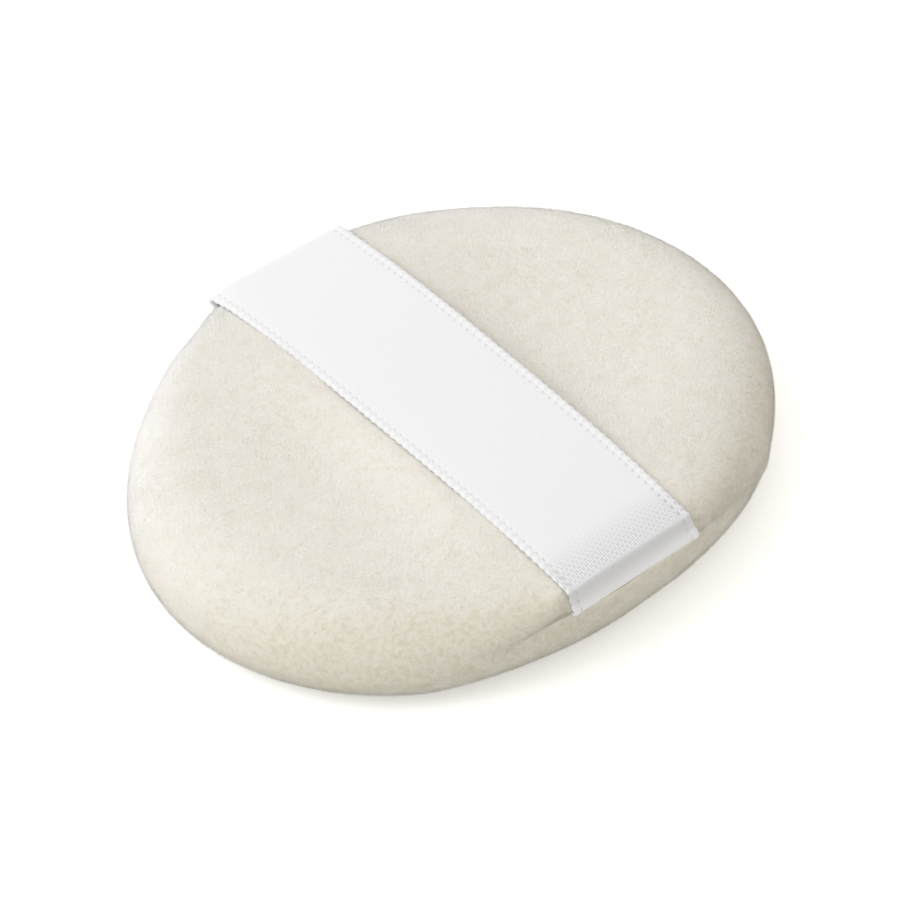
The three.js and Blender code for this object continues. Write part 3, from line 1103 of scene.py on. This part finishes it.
@dataclass
class Cover:
    """One velour cover of the pad, with its turned-in edge and its pile.

    Attributes:
        side: Which cover.
        node: The solid that it stands for.
        shape: The pad's form.
        velour: The finish.
        pile: Length of the pile.
        backing: Depth of the cloth's inner face below the pile's tips.
        allowance: How far the edge is turned in.
        columns: Steps round the rim.
        rows: Steps from the middle to the seam.
        inner_rows: Steps of the hidden face.
        groove_fade: How far out from its inner end the stitches' groove is full.
        lumps: Height and size of the cushion's slow unevenness.
        ripples: Height and size of its short unevenness.
        smooth_from: Share of the way to the seam at which the unevenness starts to fade.
        foot_span: Heights between which it starts, over the resting face.
        clear: Distance of the ground from the ribbon, as a share of the pile.
        sheets: How many pieces the tufts are kept in.
        ribbon: The ribbon that presses on the cover, or None.
        ground: Places of the outer face, by row and column, once built.
        facing: Their outward directions.
    """

    side: Side
    node: str
    shape: PadShape
    velour: VelourFinish
    pile: float = 0.24
    backing: float = 1.2
    allowance: float = 4.5
    columns: int = 480
    rows: int = 100
    inner_rows: int = 24
    groove_fade: float = 2.0
    lumps: Span = (0.06, 11.0)
    ripples: Span = (0.035, 1.7)
    smooth_from: float = 0.9
    foot_span: Span = (0.3, 2.0)
    clear: float = 1.2
    sheets: int = 3
    ribbon: Ribbon | None = None
    ground: np.ndarray = field(init=False, repr=False)
    facing: np.ndarray = field(init=False, repr=False)

    def _turned(self, profile: np.ndarray, inset: float) -> np.ndarray:
        """Turn a profile about the pad's axis and pull it to the pad's form.

        Args:
            profile: Radius and height, one point to a row.
            inset: Radius within which the stitches' groove isn't felt.

        Returns:
            Places by row and column.
        """
        angle = np.linspace(0, 2 * np.pi, self.columns, endpoint=False)
        radius, height = profile[:, :1], profile[:, 1:]
        drawn = self.shape.groove(angle, np.abs(height - self.shape.seam))
        radius = radius - drawn * ease(inset, inset + self.groove_fade, radius)
        round_pad = np.stack(
            [
                radius * np.cos(angle),
                radius * np.sin(angle),
                np.broadcast_to(height, (len(profile), self.columns)),
            ],
            axis=-1,
        )
        return self.shape.pull(round_pad)

    def _facing(self, grid: np.ndarray) -> np.ndarray:
        """Return outward directions of a face's grid: the product of its two slopes."""
        down = np.gradient(grid, axis=0)
        around = np.roll(grid, -1, axis=1) - np.roll(grid, 1, axis=1)
        found = unit(np.cross(down, around)) * self.side.value
        found[0] = (0, 0, self.side.value)
        return found

    def build(self) -> list[bpy.types.Object]:
        """Make the cover and its pile.

        Returns:
            The cover's object first, then the pile's.
        """
        shell = self._shell().to_object(f"{self.side.name.lower()}_velour")
        shell.data.materials.append(self.velour.ground())
        made = [shell]
        tufts = self.velour.tufts()
        pile = Pile(self.side, self.velour, self.ground, self.facing, self.pile, self.sheets)
        for sheet in range(self.sheets):
            layer = pile.layer(sheet).to_object(f"{self.side.name.lower()}_pile_{sheet + 1}")
            layer.data.materials.append(tufts)
            layer.visible_shadow = False
            made.append(layer)
        return made

    def dress(self, made: list[bpy.types.Object]) -> None:
        """Args:
            made: What build returned.
        """
        for piece in made:
            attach(piece, Body.PAD.value)
            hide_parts(self.node)

    def _shell(self) -> Surface:
        """Make the cloth: its outer face, its turned-in edge and its inner face, closed.

        Each face is a grid of a profile from the middle to the seam, turned about the pad's axis.

        Returns:
            The cloth, with the pile's tone, painted shade and light, at its points.
        """
        outer = resample(self.shape.face(self.side, self.pile), self.rows - len(SEAM_ROWS))
        close = outer[-1] * (1 - SEAM_ROWS) + outer[-2] * SEAM_ROWS
        outer = np.concatenate([outer[:-1], close, outer[-1:]])
        grid = self._uneven(self._turned(outer, self.shape.long_half - self.allowance))
        if self.ribbon is not None:
            grid = self.ribbon.pressed(grid, self.clear * self.pile)
        self.ground, self.facing = grid, self._facing(grid)
        edge = outer[-1, 0] - self.allowance
        seam = outer[-1, 1]
        inner = resample(self.shape.face(self.side, self.backing), self.inner_rows)
        thick = self.side.value * (self.backing - self.pile)
        inner = inner[np.abs(inner[:, 1] - seam) > 2 * abs(thick)]
        lip = np.array([[edge + self.allowance / 2, seam], [edge, seam], [edge, seam + thick]])
        inside = self._turned(np.concatenate([lip, inner[::-1]]), self.shape.long_half)
        rows = np.concatenate([grid[1:], inside[:-1]])
        shell = self._closed(grid[0, 0], rows, inside[-1, 0])
        # Painted shade and light: the pile's tone by the way each point faces.
        shell.tones = np.full(len(shell.points), self.velour.level_tone)
        shell.tones[1 : 1 + grid[1:, :, 0].size] = self.velour.tone(self.facing[1:]).ravel()
        return shell

    def _uneven(self, grid: np.ndarray) -> np.ndarray:
        """Raise a face by slow lumps and short ripples along its outward directions.

        Both fade towards the seam, and on the lower cover towards the resting face.

        Args:
            grid: Places by row and column.

        Returns:
            The places, raised.
        """
        height, size = self.lumps
        slow = Ripple(size, LUMP_SEED + self.side.value).at(grid) * height
        height, size = self.ripples
        quick = Ripple(size, RIPPLE_SEED + self.side.value).at(grid) * height
        fade = 1 - ease(self.smooth_from, 1.0, np.linspace(0, 1, self.rows))[:, None]
        level = 1 if self.side is Side.UPPER else ease(*self.foot_span, grid[..., 2])
        return grid + self._facing(grid) * ((slow + quick) * fade * level)[..., None]

    def _closed(self, first: np.ndarray, rows: np.ndarray, last: np.ndarray) -> Surface:
        """Close rings of points at both ends with a single point.

        Args:
            first: Point in the middle of the first ring.
            rows: Rings of points.
            last: Point in the middle of the last ring.

        Returns:
            The closed surface, mapped as two discs: the outer face large, the inside small.
        """
        count, columns = rows.shape[:2]
        number = 1 + np.arange(count * columns).reshape(count, columns)
        after = np.roll(number, -1, axis=1)
        quads = np.stack([number[:-1], number[1:], after[1:], after[:-1]], axis=-1).reshape(-1, 4)
        end = 1 + count * columns
        fan = np.stack([np.zeros(columns, int), number[0], after[0]], axis=-1)
        cap = np.stack([number[-1], np.full(columns, end), after[-1]], axis=-1)
        faces = [quads, fan, cap]
        if self.side is Side.LOWER:
            faces = [f[:, ::-1] for f in faces]
        points = np.concatenate([first[None], rows.reshape(-1, 3), last[None]])
        return Surface(points, faces, self._discs(faces, count))

    def _discs(self, faces: list[np.ndarray], count: int) -> np.ndarray:
        """Map the face corners: polar rings on a large disc, the hidden ones on a small disc.

        Args:
            faces: Arrays of vertex numbers.
            count: How many rings there are.

        Returns:
            Map coordinates of all corners in order.
        """
        columns = self.columns
        angle = 2 * np.pi * np.arange(columns) / columns
        ring = np.arange(count)
        shown = self.rows + 1
        large = OUTER_RADIUS * (ring + 1) / shown
        small = INNER_RADIUS * (count - ring) / (count - shown)
        spot = np.stack([np.cos(angle), np.sin(angle)], axis=-1)
        outer = OUTER_DISC + large[:, None, None] * spot
        inner = INNER_DISC + small[:, None, None] * spot
        rings = np.where((ring < shown)[:, None, None], outer, inner).reshape(-1, 2)
        every = np.concatenate([[OUTER_DISC], rings, [INNER_DISC]])
        crossing = np.concatenate([[OUTER_DISC], inner.reshape(-1, 2), [INNER_DISC]])
        spots = []
        for face in faces:
            hidden = (face.max(axis=1) > shown * columns)[:, None, None]
            spots.append(np.where(hidden, crossing[face], every[face]).reshape(-1, 2))
        return np.concatenate(spots)


@dataclass
class Ribbon:
    """The satin finger ribbon, one length folded out of the seam at both ends.

    Attributes:
        finish: The satin.
        width: Width of the ribbon.
        thick: Thickness of the satin.
        tail_from: Reach of a tail's hidden end from the pad's middle.
        tail_height: Height of the tails in the seam.
        near: Reach and height of the foot and the crest of the near end.
        far: The same of the far end.
        waist: How far an end bows in between its foot and its crest.
        foot_fold: How far each side of a foot is rounded.
        near_fold: How far each side of the near crest is rounded.
        far_fold: How far each side of the far crest is rounded.
        middle: Height of the ribbon's middle.
        arch: Exponent of the arch between the crests, where 2 is a parabola.
        twist: Rise across the ribbon at the far crest, and fall at the near one, as a slope.
        curl: How far the left edge turns down over the far crest.
        curl_run: Length before the far crest over which it starts to.
        curl_span: Shares of the half width between which the edge curls.
        far_skew: How much farther the far crest reaches on one side, as a slope.
        near_skew: The same of the near crest.
        left_droop: How far the edge that lies on the pad hangs.
        right_droop: How far the other edge hangs.
        free_span: Lengths from a tail between which the ribbon is free to twist and skew.
        pitch: Distance between the eyelets along a selvedge.
        step: Distance between rows of the mesh.
        selvedge: Width of the selvedge.
        scallop: How far the edge waves in and out, and how far in that is felt.
        cord: How much thicker the selvedge is, as a share.
        cord_fullness: Exponent of the cord's half sine across.
        beads: Mean and wave of the cord along the selvedge.
        hem: Share of the selvedge beyond which it is thin, and that thickness as a share.
        eyelet: Width of the eyelets inside it.
        eyelet_depth: Share of the thickness that an eyelet takes, and what an opened one adds.
        eyelet_sides: Shares of its width between which each side slopes in.
        eyelet_ends: Values of the wave along the selvedge between which an eyelet starts.
        eyelet_opened: How much lower those values are where the near fold pulls eyelets open.
        opened_span: Places along the ribbon between which it does.
        press_span: Places from the edge between which the pad is free of the ribbon.
        softness: How softly the pad gives way to it.
        touch: Width and reach over which the pad comes up to the left edge.
        lifted: Share of an end's reach, from the middle, that would lift whole with the span; not
        used.
        flat: Width and length in metres of each strip, by name, once built.
    """

    finish: SatinFinish
    width: float = 20.0
    thick: float = 0.24
    tail_from: float = 31.4
    tail_height: float = 9.67
    near: tuple[Span, Span] = ((34.7, 10.7), (33.1, 13.4))
    far: tuple[Span, Span] = ((34.1, 9.9), (34.8, 13.3))
    waist: float = 0.2
    foot_fold: float = 0.4
    near_fold: float = 0.45
    far_fold: float = 1.3
    middle: float = 15.3
    arch: float = 2.8
    twist: float = 0.03
    curl: float = 0.5
    curl_run: float = 5.0
    curl_span: Span = (0.7, 1.05)
    far_skew: float = 0.08
    near_skew: float = -0.025
    left_droop: float = 0.3
    right_droop: float = 0.12
    free_span: Span = (3.2, 6.6)
    pitch: float = 1.2
    step: float = 0.12
    selvedge: float = 0.95
    scallop: Span = (0.06, 0.4)
    cord: float = 1.1
    cord_fullness: float = 0.7
    beads: Span = (0.6, 0.4)
    hem: Span = (0.8, 0.6)
    eyelet: float = 0.3
    eyelet_depth: Span = (0.8, 0.12)
    eyelet_sides: Span = (0.35, 0.65)
    eyelet_ends: Span = (0.55, 0.95)
    eyelet_opened: Span = (0.5, 0.35)
    opened_span: Span = (-22.0, -30.0)
    press_span: Span = (-0.8, 0.1)
    softness: float = 0.1
    touch: tuple[float, Span] = (2.5, (32.0, 34.5))
    lifted: float = 0.24
    flat: dict[str, Span] = field(default_factory=dict)

    def build(self) -> list[bpy.types.Object]:
        """Make the ribbon as two strips that meet at its middle, with eyelets inside each selvedge.

        Returns:
            The near strip and the far one.
        """
        line = self._side_view()
        length = np.linalg.norm(np.diff(line, axis=0), axis=1).sum()
        count = int(round(length / self.step)) + 1
        line = resample(line, count)
        along = np.linspace(0, length, count)
        x = self._columns()
        grid = self._laid(line, along, x)
        facing = unit(np.cross(np.gradient(grid, axis=1), np.gradient(grid, axis=0)))
        half = self._half_thickness(line, along, x)
        middle = int(np.abs(line[:, 0]).argmin())
        satin = self.finish.material(self, length)
        whole = self._thickened(grid, facing, half, (along / length, x))
        shading = whole.shading().reshape(2, *grid.shape)
        made = []
        for end, rows in (("near", slice(0, middle + 1)), ("far", slice(middle, None))):
            strip = self._thickened(grid[rows], facing[rows], half[rows], (along[rows] / length, x))
            strip.normals = shading[:, rows].reshape(-1, 3)
            piece = strip.to_object(f"satin_ribbon_{end}")
            piece.data.materials.append(satin)
            self.flat[piece.name] = (self.width * MM, float(np.ptp(along[rows])) * MM)
            made.append(piece)
        return made

    def pressed(self, places: np.ndarray, clear: float) -> np.ndarray:
        """Press places down under the ribbon and in behind its two ends.

        Each place goes by a soft step, from nothing to its whole overlap. Beside the left edge the
        pad comes up to the ribbon, as a bell across it.

        Args:
            places: Places, x, y and z along the last axis.
            clear: Least distance from the ribbon's inner face.

        Returns:
            The places as the ribbon leaves them.
        """
        x, y, z = np.moveaxis(places, -1, 0)
        half = self.width / 2
        inner, outer = (half + place for place in self.press_span)
        beside = (1 - ease(inner, outer, np.abs(x))) * (z > self.tail_height)
        reach = np.abs(y)
        for end, fold, way in ((self.near, self.near_fold, -1), (self.far, self.far_fold, 1)):
            wall = self._end(*end, fold)
            wall = wall[wall[:, 0] > end[1][0] - fold]
            limit = np.interp(z, wall[:, 1], wall[:, 0]) - self.thick / 2 - clear
            reach = reach - self._overlap(reach - limit) * beside * (np.sign(y) == way)
        under = self._arch(y) + self._tilt(x, y) - self.thick / 2 - clear
        edge = self._arch(y) + self._tilt(-half, y) - self.thick / 2 - clear / 2
        touch_width, touch_span = self.touch
        at_edge = np.exp(-(((x + half) / touch_width) ** 2)) * (1 - ease(*touch_span, np.abs(y)))
        risen = np.maximum(0, edge - z) * at_edge * (z > self.tail_height)
        return np.stack([x, np.sign(y) * reach, z + risen - self._overlap(z - under) * beside], axis=-1)

    def _overlap(self, past: np.ndarray) -> np.ndarray:
        """Return how far to move what lies past a limit: a soft step, 0 well before it."""
        return self.softness * np.logaddexp(0, past / self.softness)

    def dress(self, made: list[bpy.types.Object]) -> None:
        """Hide the frame's ribbon pieces and set each strip's place into its mesh.

        Args:
            made: The near strip and the far one.
        """
        ends = ("ribbon_end_near", -self.near[1][0]), ("ribbon_end_far", self.far[1][0])
        for strip, (node, crest) in zip(made, ends):
            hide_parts("ribbon_span", node)
            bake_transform(strip)

    def _end(self, foot: Span, crest: Span, fold: float) -> np.ndarray:
        """Trace one end from its hidden tail to its crest, its two corners rounded off.

        Args:
            foot: Reach and height at which the ribbon leaves the seam.
            crest: Reach and height of its fold.
            fold: How far each side of the crest is rounded.

        Returns:
            Reach and height, one point to a row.
        """
        tail = np.array([self.tail_from, self.tail_height])
        foot, crest = np.array(foot), np.array(crest)
        slope = self.arch * (self.middle - crest[1]) / crest[0]
        inward = crest + np.array([-1.0, slope])
        first = self._rounded(tail, foot, crest, self.foot_fold)
        second = self._rounded(foot, crest, inward, fold)
        share = np.linspace(0, 1, RISER_STEPS)[1:-1, None]
        riser = first[-1] * (1 - share) + second[0] * share
        riser = riser - 4 * share * (1 - share) * np.array([self.waist, 0.0])
        return np.concatenate([[tail], first, riser, second])

    def _rounded(
        self, before: np.ndarray, corner: np.ndarray, after: np.ndarray, cut: float
    ) -> np.ndarray:
        """Round a corner by a quadratic curve.

        Args:
            before: A point on the way to the corner.
            corner: The corner.
            after: A point on the way from it.
            cut: How far from the corner the curve starts and ends.

        Returns:
            Points of the curve, one to a row.
        """
        share = np.linspace(0, 1, BEND_STEPS)[:, None]
        start = corner + unit(before - corner) * cut
        end = corner + unit(after - corner) * cut
        return (1 - share) ** 2 * start + 2 * share * (1 - share) * corner + share**2 * end

    def _side_view(self) -> np.ndarray:
        """Trace the ribbon from the near tail, over the pad, to the far tail, as y and z.

        Returns:
            Places along the pad and heights, one point to a row.
        """
        near = self._end(*self.near, self.near_fold) * (-1, 1)
        far = self._end(*self.far, self.far_fold)
        y = np.linspace(near[-1, 0], far[-1, 0], ARCH_STEPS)[1:-1]
        return np.concatenate([near, np.stack([y, self._arch(y)], axis=1), far[::-1]])

    def _arch(self, y: np.ndarray) -> np.ndarray:
        """Return the height of the ribbon's middle line between its crests.

        It is the line that joins the crests, plus a rise that falls by a power of the distance
        from the middle.

        Args:
            y: Places along the ribbon.

        Returns:
            The height at each place.
        """
        near = self._end(*self.near, self.near_fold)[-1] * (-1, 1)
        far = self._end(*self.far, self.far_fold)[-1]
        share = np.clip((y - near[0]) / (far[0] - near[0]), 0, 1)
        base = near[1] * (1 - share) + far[1] * share
        rise = self.middle - (near[1] + far[1]) / 2
        return base + rise * (1 - np.abs(2 * share - 1) ** self.arch)

    def _tilt(self, x: np.ndarray, y: np.ndarray) -> np.ndarray:
        """Return how far the twist lifts a place, less how far the edges hang and curl.

        The twist grows with both places, and the edges hang by the cube of the place across.

        Args:
            x: Places across the ribbon.
            y: Places along it.

        Returns:
            The lift at each place.
        """
        outward = np.minimum(np.abs(x) / (self.width / 2), 1)
        droop = np.where(x < 0, self.left_droop, self.right_droop)
        crest = self.far[1][0]
        twisted = np.clip(y / crest, -1, 1) * self.twist * x
        curled = self.curl * ease(crest - self.curl_run, crest, y) * (x < 0)
        return twisted - droop * outward**3 - curled * ease(*self.curl_span, outward)

    def _columns(self) -> np.ndarray:
        """Space the mesh across the ribbon: fine at the selvedges and their eyelets.

        Returns:
            Places across, from the left edge to the right one.
        """
        half = self.width / 2
        inner = half - self.selvedge
        body_columns, eyelet_columns, band_columns = RIBBON_COLUMNS
        body = np.linspace(0, inner - self.eyelet, body_columns)
        eyelets = np.linspace(inner - self.eyelet, inner, eyelet_columns)[1:-1]
        band = np.linspace(inner, half, band_columns)
        right = np.concatenate([body, eyelets, band])
        return np.concatenate([-right[:0:-1], right])

    def _laid(self, line: np.ndarray, along: np.ndarray, x: np.ndarray) -> np.ndarray:
        """Lay the strip along its side view, twisted and skewed between its fixed tails.

        Args:
            line: Side view, y and z, one point to a row.
            along: Length from the near tail to each row.
            x: Columns across the ribbon.

        Returns:
            Places by row and column.
        """
        y, z = line[:, :1], line[:, 1:]
        from_end = np.minimum(along, along[-1] - along)[:, None]
        free = ease(*self.free_span, from_end)
        skew = np.where(y > 0, self.far_skew, self.near_skew) * free
        reach = ease(0, self.far[1][0], np.abs(y)) * skew
        wave, felt = self.scallop
        scallop = wave * np.cos(2 * np.pi * along / self.pitch)[:, None]
        edge = ease(self.width / 2 - felt, self.width / 2, np.abs(x))
        wide = x - np.sign(x) * edge * scallop
        return np.stack([wide + 0 * y, y - reach * x, z + self._tilt(x, y) * free], axis=-1)

    def _half_thickness(self, line: np.ndarray, along: np.ndarray, x: np.ndarray) -> np.ndarray:
        """Return half the thickness: plain satin, corded selvedges, and eyelets almost through.

        A selvedge swells as a half sine across and beads as a cosine along. The eyelets lie
        between the beads, and the fold pulls those beside the near crest wider open.

        Args:
            line: Side view, y and z, one point to a row.
            along: Length from the near tail to each row.
            x: Columns across the ribbon.

        Returns:
            Half the thickness by row and column.
        """
        depth = np.abs(x) - (self.width / 2 - self.selvedge)
        inside = np.clip(depth / self.selvedge, 0, 1)
        cord = np.sin(np.pi * inside) ** self.cord_fullness * (depth > 0)
        wave = np.cos(2 * np.pi * along / self.pitch)[:, None]
        taper = np.where(depth > self.hem[0] * self.selvedge, self.hem[1], 1.0)
        beads = self.beads[0] - self.beads[1] * wave
        plain = (self.thick / 2) * (taper + self.cord * cord * beads)
        opened = ease(*self.opened_span, line[:, :1])
        across = np.clip(1 + depth / self.eyelet, 0, 1)
        sides = ease(0, self.eyelet_sides[0], across) * (1 - ease(self.eyelet_sides[1], 1.0, across))
        start, end = (e - o * opened for e, o in zip(self.eyelet_ends, self.eyelet_opened))
        deep = self.eyelet_depth[0] + self.eyelet_depth[1] * opened
        return plain * (1 - deep * sides * ease(start, end, wave))

    def _thickened(
        self,
        grid: np.ndarray,
        facing: np.ndarray,
        half: np.ndarray,
        spread: tuple[np.ndarray, np.ndarray],
    ) -> Surface:
        """Give a strip two faces and walls along its edges, so that it is closed.

        Args:
            grid: Places by row and column.
            facing: Directions of the upper face.
            half: Half the thickness by row and column.
            spread: Share of the whole length along, and places across, for the map.

        Returns:
            The closed strip, its upper and lower face side by side on the map.
        """
        rows, columns = grid.shape[:2]
        count = rows * columns
        number = np.arange(count).reshape(rows, columns)
        corners = [number[:-1, :-1], number[:-1, 1:], number[1:, 1:], number[1:, :-1]]
        top = np.stack([c.ravel() for c in corners], axis=-1)
        rim = np.concatenate([number[0], number[1:, -1], number[-1, -2::-1], number[-2:0:-1, 0]])
        rim = np.stack([rim, np.roll(rim, -1)], axis=-1)
        walls = np.stack([rim[:, 1], rim[:, 0], rim[:, 0] + count, rim[:, 1] + count], axis=-1)
        lift = (facing * half[..., None]).reshape(-1, 3)
        flat = grid.reshape(-1, 3)
        points = np.concatenate([flat + lift, flat - lift])
        along, x = spread
        v = np.broadcast_to(along[:, None], (rows, columns)).ravel()
        u = np.broadcast_to((x / self.width + 0.5)[None, :] * 0.5, (rows, columns)).ravel()
        upper, lower = np.stack([u, v], axis=-1), np.stack([u + 0.5, v], axis=-1)
        places = np.concatenate([upper, lower])
        beside = np.concatenate([upper, upper + WALL_ON_MAP])
        bottom = top[:, ::-1] + count
        spots = [places[top], places[bottom], beside[walls]]
        mapped = np.concatenate([s.reshape(-1, 2) for s in spots])
        return Surface(points, [top, bottom, walls], mapped)


@dataclass
class Inside:
    """What the covers hide: the foam disc and the threads, kept as the frame has them.

    Attributes:
        foam: Finish of the filling.
        thread: Finish of the threads.
    """

    foam: FoamFinish
    thread: ThreadFinish

    def dress(self, nodes: dict[str, bpy.types.Object]) -> None:
        """Give the hidden pieces their materials.

        Args:
            nodes: The frame's pieces by name.
        """
        cotton = self.thread.material()
        finishes = {
            "foam_core": (self.foam.material(), Slot.FOAM),
            "seam_needle_thread": (cotton, Slot.THREAD),
            "seam_bobbin_thread": (cotton, Slot.THREAD),
            "closing_thread": (cotton, Slot.THREAD),
        }
        for name, (material, slot) in finishes.items():
            piece = nodes[name]
            piece.data.materials.clear()
            piece.data.materials.append(material)
            LOG.info("%s: %d faces", name, len(piece.data.polygons))


@dataclass
class Studio:
    """White floor, soft light and the camera.

    Attributes:
        azimuth: Where the camera stands round the object, in degrees.
        elevation: Its height, in degrees.
        roll: How far it is turned about its own axis, in degrees.
        distance: From the camera to its target.
        scale: Pixels to a millimetre at the target.
        target: What the camera is aimed at.
        aim: Shift of the picture's middle from the target, to the right and up.
        sky: Strength of the soft light on its weaker and its stronger side.
        sky_way: Direction of the stronger side.
        sky_colour: Colour of the soft light.
        key_way: Direction from the object to the key lamp.
        key_distance: How far away it is.
        key_size: Edge of its face.
        key_power: Its strength, in watts.
        key_colour: Its colour.
        floor_half: Half of the floor's width.
        floor_colour: Colour of the floor.
        floor_glow: How much brighter the camera sees it.
        picture: Pixels across the picture.
        sensor: Width of the camera's sensor.
        clip: Nearest and farthest distance that the camera sees, in metres.
    """

    azimuth: float = -39.36
    elevation: float = 45.95
    roll: float = 1.41
    distance: float = 800.0
    scale: float = 8.08
    target: tuple[float, float, float] = (0.0, 0.0, 6.5)
    aim: Span = (-0.26, -0.67)
    sky: Span = (0.66, 1.0)
    sky_way: tuple[float, float, float] = (0.0, 0.88, 0.48)
    sky_colour: Colour = (1.0, 0.975, 0.94, 1)
    key_way: tuple[float, float, float] = (-0.6, 0.37, 0.71)
    key_distance: float = 2000.0
    key_size: float = 1300.0
    key_power: float = 15.7
    key_colour: tuple[float, float, float] = (0.92, 0.945, 0.99)
    floor_half: float = 4000.0
    floor_colour: Colour = (0.92, 0.92, 0.9, 1)
    floor_glow: float = 0.35
    picture: int = 900
    sensor: float = 36.0
    clip: Span = (0.01, 20.0)

    def build(self) -> None:
        """Make the floor, the world's light, the key lamp and the camera."""
        self._floor()
        self._world()
        self._key()
        self._camera()
        bpy.context.scene.view_settings.view_transform = "Standard"

    def _floor(self) -> None:
        """Make a pale floor that shows white around the object and keeps its shadow."""
        half = self.floor_half
        corners = np.array([[-half, -half, 0], [half, -half, 0], [half, half, 0], [-half, half, 0]])
        floor = Surface(corners, [np.array([[0, 1, 2, 3]])]).to_object("floor")
        paint = Paint("floor_white")
        seen = paint.node("ShaderNodeLightPath").outputs["Is Camera Ray"]
        matt = paint.node("ShaderNodeBsdfDiffuse", {"Color": self.floor_colour})
        strength = paint.math("MULTIPLY", seen, self.floor_glow)
        glow = paint.node("ShaderNodeEmission", {"Strength": strength})
        both = paint.node("ShaderNodeAddShader", {0: matt.outputs[0], 1: glow.outputs[0]})
        paint.show(both)
        floor.data.materials.append(paint.material)

    def _world(self) -> None:
        """Light the object softly from all round, most from its far side, on a white backdrop."""
        world = bpy.data.worlds.new("studio")
        bpy.context.scene.world = world
        nodes = Nodes(world, "ShaderNodeOutputWorld")
        place = nodes.node("ShaderNodeTexCoord").outputs["Generated"]
        toward = nodes.node("ShaderNodeVectorMath", {0: place, 1: self.sky_way}, operation="DOT_PRODUCT")
        low, high = self.sky
        inputs = {"Value": toward.outputs["Value"], "From Min": -1.0, "To Min": low, "To Max": high}
        level = nodes.node("ShaderNodeMapRange", inputs).outputs["Result"]
        soft = nodes.node("ShaderNodeBackground", {"Color": self.sky_colour, "Strength": level})
        white = nodes.node("ShaderNodeBackground", {"Color": (1, 1, 1, 1)})
        seen = nodes.node("ShaderNodeLightPath").outputs["Is Camera Ray"]
        inputs = {0: seen, 1: soft.outputs[0], 2: white.outputs[0]}
        nodes.show(nodes.node("ShaderNodeMixShader", inputs))

    def _key(self) -> None:
        """Hang the key, a square soft lamp, facing the object."""
        lamp = bpy.data.lights.new("key", "AREA")
        lamp.energy = self.key_power
        lamp.color = self.key_colour
        lamp.size = self.key_size * MM
        made = bpy.data.objects.new("key", lamp)
        bpy.context.scene.collection.objects.link(made)
        away = Vector(self.key_way).normalized()
        made.location = away * self.key_distance * MM
        made.rotation_euler = away.to_track_quat("Z", "Y").to_euler()

    def _camera(self) -> None:
        """Stand the camera where the photograph was taken from."""
        turn, rise = math.radians(self.azimuth), math.radians(self.elevation)
        back = Vector(
            (
                math.sin(turn) * math.cos(rise),
                -math.cos(turn) * math.cos(rise),
                math.sin(rise),
            )
        )
        level = Vector((math.cos(turn), math.sin(turn), 0))
        up = back.cross(level)
        roll = math.radians(-self.roll)
        right = level * math.cos(roll) + up * math.sin(roll)
        up = back.cross(right)
        aim = Vector(self.target) + right * self.aim[0] + up * self.aim[1]
        data = bpy.data.cameras.new("camera")
        data.sensor_width = self.sensor
        data.lens = self.scale * self.distance * data.sensor_width / self.picture
        data.clip_start, data.clip_end = self.clip
        camera = bpy.data.objects.new("camera", data)
        bpy.context.scene.collection.objects.link(camera)
        frame = Matrix((right, up, back)).transposed().to_4x4()
        frame.translation = (aim + back * self.distance) * MM
        camera.matrix_world = frame
        bpy.context.scene.camera = camera


def main() -> None:
    """Build every piece in order."""
    logging.basicConfig(level=logging.INFO, format="%(name)s: %(message)s")
    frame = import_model()
    shape = PadShape()
    velour = VelourFinish()
    ribbon = Ribbon(SatinFinish())
    covers = (
        Cover(Side.UPPER, "upper_cover", shape, velour, ribbon=ribbon),
        Cover(Side.LOWER, "lower_cover", shape, velour, sheets=1),
    )
    for cover in covers:
        made = cover.build()
        cover.dress(made)
        for piece in made:
            LOG.info("%s: %d faces", piece.name, len(piece.data.polygons))
    strips = ribbon.build()
    ribbon.dress(strips)
    for strip in strips:
        faces = len(strip.data.polygons)
        LOG.info("%s: %d faces, flat %s m", strip.name, faces, ribbon.flat[strip.name])
    Inside(FoamFinish(), ThreadFinish()).dress(frame["nodes"])
    Studio().build()


if __name__ == "__main__":
    main()
